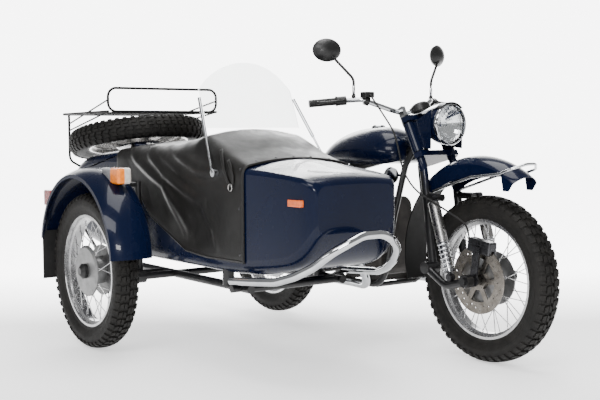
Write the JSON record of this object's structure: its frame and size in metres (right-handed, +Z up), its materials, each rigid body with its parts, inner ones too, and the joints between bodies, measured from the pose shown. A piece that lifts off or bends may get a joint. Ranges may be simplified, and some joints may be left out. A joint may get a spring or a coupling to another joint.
{
  "type": "sidecar motorcycle",
  "caption": "Motorcycle with a covered passenger sidecar, leading-link fork, spare wheel and luggage rack on the trunk lid.",
  "frame": {"origin": "middle of the bounding box's base, on the ground the three tyres stand on", "axes": "+X forward, +Y to the rider's left, away from the sidecar, +Z up"},
  "size_m": [2.4403, 1.6831, 1.3568],
  "materials": {
    "blue_paint": "gloss",
    "black_paint": "semi-gloss",
    "cast_alloy": "cast",
    "chrome": "polished",
    "steel": "satin",
    "rubber": "matte",
    "tyre": "matte",
    "black_plastic": "matte",
    "vinyl": "grained",
    "clear_sheet": "clear",
    "lamp_glass": "clear",
    "amber_lens": "gloss",
    "red_lens": "gloss"
  },
  "bodies": {
    "chassis": {"motorcycle_frame": "black_paint", "engine_block": "cast_alloy", "engine_cylinders": "cast_alloy", "carburettors": "cast_alloy", "exhausts": "chrome", "fuel_tank": "blue_paint", "fuel_cap": "chrome", "rider_seat": "vinyl", "rear_fender": "blue_paint", "rear_lamp": "red_lens", "plate_bracket": "black_paint", "rear_swingarm": "black_paint", "rear_shocks": "chrome", "foot_controls": "steel", "side_boxes": "black_paint", "horn": "chrome", "sidecar_frame": "black_paint", "sidecar_arm": "black_paint", "sidecar_shock": "black_paint", "sidecar_tub": "blue_paint", "tonneau_cover": "vinyl", "windshield": "clear_sheet", "windshield_struts": "chrome", "bumper": "chrome", "sidecar_fender": "blue_paint", "sidecar_flap": "rubber", "marker_lamp": "amber_lens", "sidecar_tail_lamp": "red_lens", "side_reflector": "amber_lens"},
    "front_fork": {"fork": "black_paint", "leading_links": "steel", "front_shocks": "chrome", "headlight_ears": "blue_paint", "headlight_shell": "blue_paint", "headlight_ring": "chrome", "headlight_lens": "lamp_glass", "nacelle_cover": "chrome", "speedometer": "black_plastic", "handlebar": "chrome", "grips": "rubber", "hand_controls": "black_plastic", "mirrors": "black_plastic", "front_fender": "blue_paint", "front_flap": "black_plastic", "fender_rail": "chrome", "brake_caliper": "cast_alloy", "brake_hose": "rubber", "switch_lead": "rubber"},
    "front_road_wheel": {"front_tyre": "tyre", "front_wheel": "steel", "brake_disc": "steel"},
    "rear_road_wheel": {"rear_tyre": "tyre", "rear_wheel": "steel"},
    "sidecar_road_wheel": {"sidecar_tyre": "tyre", "sidecar_wheel": "steel", "sidecar_hub_cap": "black_plastic"},
    "trunk_cover": {"trunk_lid": "blue_paint", "spare_tyre": "tyre", "spare_wheel": "steel", "luggage_rack": "black_paint"}
  },
  "joints": [
    {"name": "steering", "type": "hinge", "parent": "chassis", "child": "front_fork", "pos_m": [0.46218, 0.43155, 0.89], "axis": [-0.4617, 0, 0.887], "range_deg": [-35, 35]},
    {"name": "front_wheel_spin", "type": "hinge", "parent": "front_fork", "child": "front_road_wheel", "pos_m": [0.87549, 0.43155, 0.344], "axis": [0, 1, 0], "continuous": true},
    {"name": "rear_wheel_spin", "type": "hinge", "parent": "chassis", "child": "rear_road_wheel", "pos_m": [-0.65751, 0.43155, 0.344], "axis": [0, 1, 0], "continuous": true},
    {"name": "sidecar_wheel_spin", "type": "hinge", "parent": "chassis", "child": "sidecar_road_wheel", "pos_m": [-0.38251, -0.73545, 0.344], "axis": [0, 1, 0], "continuous": true},
    {"name": "trunk_hinge", "type": "hinge", "parent": "chassis", "child": "trunk_cover", "pos_m": [-0.55651, -0.25345, 0.889], "axis": [0, 1, 0], "range_deg": [0, 55]}
  ]
}
